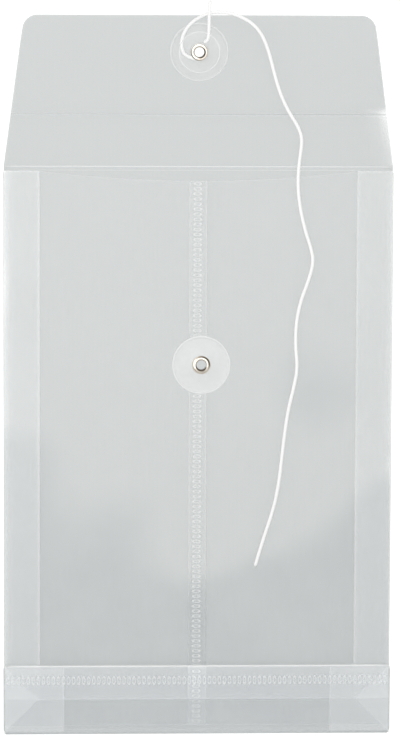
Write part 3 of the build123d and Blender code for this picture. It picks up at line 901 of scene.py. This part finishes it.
class ENVELOPE_OT_buttons(Operator):
    """The two button discs, each with a low rim, and the clear washers behind the film"""

    bl_idname = "envelope.buttons"
    bl_label = "Buttons"

    def execute(self, context):
        axles = {"flap": (FLAP_EYE, FLAP_AXIS), "back": (BACK_EYE, (0, 0, 1))}
        # For the flap disc, thin lowers the tone: painted shade for the flap film that lies over it.
        for place, low, thin in (("flap", -2.05, 0.3), ("back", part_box("back_button")[0].z / MM, 0.0)):
            high = low + 0.8
            outline = np.concatenate([
                [(2.42, low + 0.12), (2.55, low), (11.0, low)],
                arc(11.75, low + 0.25, 0.25, 0.25, -90, 0, 5),
                arc(11.75, high - 0.25, 0.25, 0.25, 0, 90, 5),
                arc(11.35, high - 0.09, 0.35, 0.10, 60, 180, 5),
                [(10.6, high - 0.12), (4.6, high - 0.12), (4.2, high - 0.02)],
                [(2.6, high - 0.02), (2.42, high - 0.12)],
            ])
            disc = turned(
                f"{place}_button_disc", outline, *axles[place], "disc", "button",
                lambda radius, bearing: np.where(radius > 11.45, 0.45, 0.0) - thin,
            )
            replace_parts(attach(disc, f"{place}_disc"), f"{place}_button")
        for place, low in (("flap", 0.24), ("back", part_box("back_washer")[0].z / MM)):
            high = low + 0.25
            outline = np.concatenate([
                [(2.42, low), (5.0, low), (7.9, low)],
                arc(8.275, low + 0.125, 0.125, 0.125, -90, 90, 7),
                [(8.0, high), (7.6, high), (5.0, high), (2.42, high)],
            ])
            washer = turned(
                f"{place}_washer_film", outline, *axles[place], "washer", "washer",
                lambda radius, bearing: np.where(radius > 8.1, 0.9, 0.0),
            )
            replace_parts(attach(washer, place), f"{place}_washer")
        return {"FINISHED"}


class ENVELOPE_OT_eyelets(Operator):
    """The two nickel eyelets: a flange with a lip on one end, a neck, and a rolled rim on the other end"""

    bl_idname = "envelope.eyelets"
    bl_label = "Eyelets"

    def execute(self, context):
        def section(head, rim):
            """Closed section with the head below: bore, rolled rim, neck, and a head round over its lip."""
            return np.concatenate([
                [(1.95, head - 0.3), (1.95, (head + rim) / 2), (1.97, rim - 0.1)],
                arc(2.74, rim, 0.76, 0.35, 178, 2, 17),
                [(3.3, rim), (2.9, rim + 0.02), (2.36, rim)],
                [(2.35, rim - 0.1), (2.35, head + 0.1), (2.36, head)],
                [(2.9, head), (3.6, head)],
                arc(2.5, head - 0.1, 1.3, 0.45, 10, -90, 15),
                arc(2.5, head - 0.33, 0.55, 0.22, -100, -175, 7),
            ])

        def painted_crescents(inner_bearing, outer_bearing, outer_radius, depth):
            """Painted shade and painted dark reflection in the bore and at the rim: two bells over the distance,
            deeper on one side.
            """
            def tone(radius, bearing):
                inner = 0.5 + 0.5 * np.cos(bearing - radians(inner_bearing))
                outer = 0.5 + 0.5 * np.cos(bearing - radians(outer_bearing))
                bore = 1.8 * bell(radius - 2.2, 0.42) * np.clip(inner ** 2, 0.22, 1)
                rim = depth * bell(radius - outer_radius, 0.3) * np.clip(outer ** 2, 0.25, 1)
                return np.clip(bore + rim, 0, 1)
            return tone

        low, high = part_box("back_eyelet")
        for body, centre, axis, head, rim, crescent_shade in (
            ("flap", FLAP_EYE, FLAP_AXIS, -2.09, 0.53, painted_crescents(-30, 200, 3.35, 0.8)),
            ("back", BACK_EYE, (0, 0, -1), 0.55 - high.z / MM, -0.35 - low.z / MM, painted_crescents(-95, 55, 3.3, 1.5)),
        ):
            outline = section(head, rim)
            eyelet = turned(f"{body}_eyelet_metal", outline, centre, axis, "eyelet", "eyelet", crescent_shade)
            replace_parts(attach(eyelet, body), f"{body}_eyelet")
        return {"FINISHED"}


def smooth_line(name, route):
    """Points along a smooth spline whose control points are the route."""
    curve = bpy.data.curves.new(name, "CURVE")
    curve.dimensions = "3D"
    spline = curve.splines.new("NURBS")
    spline.points.add(len(route) - 1)
    spline.points.foreach_set("co", np.concatenate([route, np.ones((len(route), 1))], axis=1).ravel())
    spline.order_u = 3
    spline.use_endpoint_u = True
    spline.resolution_u = 24
    line = bpy.data.objects.new(name, curve)
    bpy.context.scene.collection.objects.link(line)
    bpy.context.view_layer.update()
    mesh = bpy.data.meshes.new_from_object(line)
    points = np.zeros(len(mesh.vertices) * 3, np.float32)
    mesh.vertices.foreach_get("co", points)
    bpy.data.meshes.remove(mesh)
    bpy.data.objects.remove(line)
    bpy.data.curves.remove(curve)
    return points.reshape(-1, 3).astype(float)


def laid_string(name, path):
    """Strands laid together along a path, as one closed tube.

    The section at each point is a circle with a lobe for each strand, pressed a little flat; it turns once
    in each lay. Both ends are drawn in to a small round. The tone is the depth in the groove between strands,
    which the material paints as shade.
    """
    finish = bpy.context.scene.envelope_string
    around = 8 * finish.strands
    step = np.linalg.norm(np.diff(path, axis=0), axis=1)
    path = path[np.concatenate([[True], step > 1e-7])]
    run = np.concatenate([[0], np.cumsum(np.linalg.norm(np.diff(path, axis=0), axis=1))])
    forward = np.gradient(path, run, axis=0)
    forward /= np.linalg.norm(forward, axis=1, keepdims=True)
    side = np.cross(np.array([0, 0, 1.0]), forward)
    side /= np.linalg.norm(side, axis=1, keepdims=True)
    up = np.cross(forward, side)
    angle = np.linspace(0, 2 * pi, around, endpoint=False)
    turn = 2 * pi * run[:, None] / finish.lay
    lobe = np.abs(np.cos((angle - turn) * finish.strands / 2))
    closing = quarter_round(np.minimum(run, run[-1] - run) / (finish.diameter * 0.35), least=0.02)
    radius = finish.diameter / 2 * (1 - STRAND_DEPTH + STRAND_DEPTH * lobe) * closing[:, None]
    wide = STRING_WIDE * np.cos(angle)[:, None] * side[:, None]
    high = STRING_HIGH * np.sin(angle)[:, None] * up[:, None]
    points = path[:, None] + radius[..., None] * (wide + high)
    index = np.arange(len(path) * around).reshape(-1, around)
    quads = np.concatenate([ring_quads(index), lid_quads(index[0])[:, ::-1], lid_quads(index[-1])])
    # Painted shade in the grooves between strands.
    tone = np.clip(1 - lobe * 1.6, 0, 1) * 0.8
    piece = put_piece(name, points, quads, "string", "string", tone)
    mapped = piece.data.uv_layers.new(name="StringMap")
    u = np.repeat(np.stack([run[:-1], run[:-1], run[1:], run[1:]], axis=1)[:, None], around, 1)
    place = np.arange(around)
    v = np.stack([place, place + 1, place + 1, place], axis=1) / around - u / finish.lay
    both = np.stack([u.ravel(), v.ravel()], axis=1)
    ends = np.zeros((len(piece.data.loops) - len(both), 2))
    mapped.data.foreach_set("uv", np.concatenate([both, ends]).astype(np.float32).ravel())
    return piece, path


class ENVELOPE_OT_string(Operator):
    """The string, from its turn round the flap's eyelet to its loose end, and its short tail"""

    bl_idname = "envelope.string"
    bl_label = "String"

    def execute(self, context):
        rise = FLAP_RISE / MM
        turns = [
            (TURN_REACH * cos(radians(degree)), rise + TURN_REACH * sin(radians(degree)))
            for degree in TURN_DEGREES
        ]
        places = [
            ([(-TURN_RADIUS, rise)] + turns + UNDER, NECK_LEVEL), (DIP, DIP_LEVEL),
            (EDGE, NECK_LEVEL), (OVER, OVER_LEVEL), (LEAVE, LEAVE_LEVEL),
        ]
        route = [on_flap(*(np.array(part) * MM).T, height * MM) for part, height in places]
        down = np.array(BACK) * MM
        route.append(on_body(down[:, 0], FOLD - down[:, 1], BACK_LEVEL * MM))
        string, path = laid_string("tie_string", smooth_line("string_way", np.concatenate(route)))
        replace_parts(string, "string")
        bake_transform(string)
        tail_route = on_flap(*(np.array(TAIL) * MM).T, NECK_LEVEL * MM)
        tail, _ = laid_string("tie_string_tail", smooth_line("tail_way", tail_route))
        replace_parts(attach(tail, "flap"), "string_tail")
        return {"FINISHED"}


def hang(name, data, place, turn):
    """Lamp or camera at its place."""
    thing = bpy.data.objects.new(name, data)
    thing.location, thing.rotation_euler = place, turn
    bpy.context.scene.collection.objects.link(thing)
    return thing


class ENVELOPE_OT_stage(Operator):
    """Pale floor, even light with one soft lamp, and the camera over the envelope"""

    bl_idname = "envelope.stage"
    bl_label = "Stage"

    def execute(self, context):
        scene, finish = context.scene, context.scene.envelope_stage
        size, drop = 4.0, -0.25 * MM
        mesh = bpy.data.meshes.new("floor")
        corners = [(x, y, drop) for x, y in rectangle(-size, size, -size, size)]
        mesh.from_pydata(corners, [], [(0, 1, 2, 3)])
        floor = bpy.data.objects.new("floor", mesh)
        scene.collection.objects.link(floor)
        make = Recipe(bpy.data.materials.new("pale_floor"), bare=True)
        surface = make.add("ShaderNodeBsdfDiffuse", {"Color": finish.floor_colour}).outputs[0]
        seen, bare = make.view_rays()
        glows = (seen, finish.floor_colour, finish.ground_glow), (bare, (1, 1, 1), finish.glow)
        for ray, colour, share in glows:
            strength = make.number("MULTIPLY", ray, share)
            glow = make.add("ShaderNodeEmission", {"Color": colour, "Strength": strength}).outputs[0]
            surface = make.add("ShaderNodeAddShader", {0: surface, 1: glow}).outputs[0]
        make.add("ShaderNodeOutputMaterial", {"Surface": surface})
        mesh.materials.append(make.owner)

        scene.world = bpy.data.worlds.new("even_light")
        make = Recipe(scene.world, bare=True)
        light = make.ranged(make.view_rays()[1], 0.0, 1.0, finish.sky, 1.0)
        sky = make.add("ShaderNodeBackground", {"Color": (1, 1, 1), "Strength": light}).outputs[0]
        make.add("ShaderNodeOutputWorld", {"Surface": sky})

        data = bpy.data.lights.new("soft_lamp", "AREA")
        data.shape, data.size, data.energy = "DISK", finish.lamp_size, finish.lamp
        hang("soft_lamp", data, finish.lamp_place, finish.lamp_turn)
        data = bpy.data.cameras.new("camera")
        data.lens, data.sensor_width, data.clip_start, data.clip_end = finish.lens, 36.0, 0.01, 50.0
        scene.camera = hang("camera", data, finish.camera_place, finish.camera_turn)
        scene.view_settings.view_transform = "Standard"
        scene.cycles.transparent_max_bounces = 64
        return {"FINISHED"}


class ENVELOPE_PT_panel(Panel):
    """Lists the pieces and their sizes and finishes"""

    bl_idname = "ENVELOPE_PT_panel"
    bl_label = "String tie envelope"
    bl_space_type = "VIEW_3D"
    bl_region_type = "UI"
    bl_category = "Envelope"

    def draw(self, context):
        for group in GROUPS:
            box = self.layout.box()
            settings = getattr(context.scene, group)
            for name in settings.__annotations__:
                box.prop(settings, name)
        for operator in OPERATORS:
            self.layout.operator(operator.bl_idname)


GROUPS = {
    "envelope_film": FilmFinish,
    "envelope_weld": WeldFinish,
    "envelope_button": ButtonFinish,
    "envelope_string": StringFinish,
    "envelope_stage": StageFinish,
}
OPERATORS = (
    ENVELOPE_OT_stage, ENVELOPE_OT_string, ENVELOPE_OT_front_and_flap, ENVELOPE_OT_gussets, ENVELOPE_OT_back,
    ENVELOPE_OT_bottom, ENVELOPE_OT_welds, ENVELOPE_OT_buttons, ENVELOPE_OT_eyelets,
)


def register():
    for name, group in GROUPS.items():
        bpy.utils.register_class(group)
        setattr(bpy.types.Scene, name, PointerProperty(type=group))
    for operator in OPERATORS:
        bpy.utils.register_class(operator)
    bpy.utils.register_class(ENVELOPE_PT_panel)


def unregister():
    bpy.utils.unregister_class(ENVELOPE_PT_panel)
    for operator in reversed(OPERATORS):
        bpy.utils.unregister_class(operator)
    for name, group in GROUPS.items():
        delattr(bpy.types.Scene, name)
        bpy.utils.unregister_class(group)


def main():
    register()
    bpy.ops.envelope.stage()
    bpy.ops.envelope.string()
    bpy.ops.envelope.front_and_flap()
    bpy.ops.envelope.gussets()
    bpy.ops.envelope.back()
    bpy.ops.envelope.bottom()
    bpy.ops.envelope.welds()
    bpy.ops.envelope.buttons()
    bpy.ops.envelope.eyelets()


if __name__ == "__main__":
    main()
